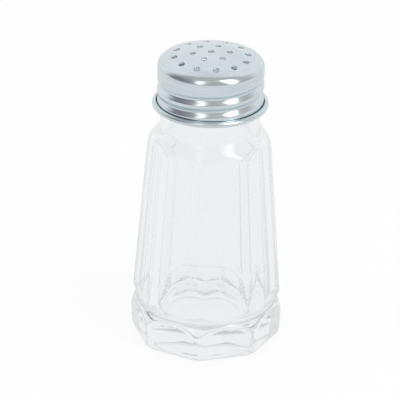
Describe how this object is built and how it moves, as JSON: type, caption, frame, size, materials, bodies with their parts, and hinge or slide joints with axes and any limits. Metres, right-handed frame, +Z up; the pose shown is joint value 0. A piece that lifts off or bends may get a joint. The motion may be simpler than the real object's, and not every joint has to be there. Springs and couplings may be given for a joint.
{
  "type": "salt shaker",
  "caption": "Clear glass salt shaker with a tapering faceted jar, a thick faceted foot and a round neck, closed by a domed perforated metal screw cap with a curled rim.",
  "frame": {"origin": "middle of the base, on the plane of the ring that the jar stands on", "axes": "+Z up along the axis of the jar and the cap, +X and +Y square to two of the flat panels"},
  "size_m": [0.0486, 0.0486, 0.1033],
  "materials": {
    "glass": "clear pressed soda-lime glass, fire-polished",
    "cap_steel": "stamped stainless steel sheet, polished"
  },
  "bodies": {
    "jar": {"glass_jar": "glass"},
    "cap": {"cap": "cap_steel"}
  },
  "joints": [
    {"name": "cap_lift", "type": "slide", "parent": "jar", "child": "cap", "axis": [0, 0, 1], "range_m": [0, 0.03]}
  ]
}
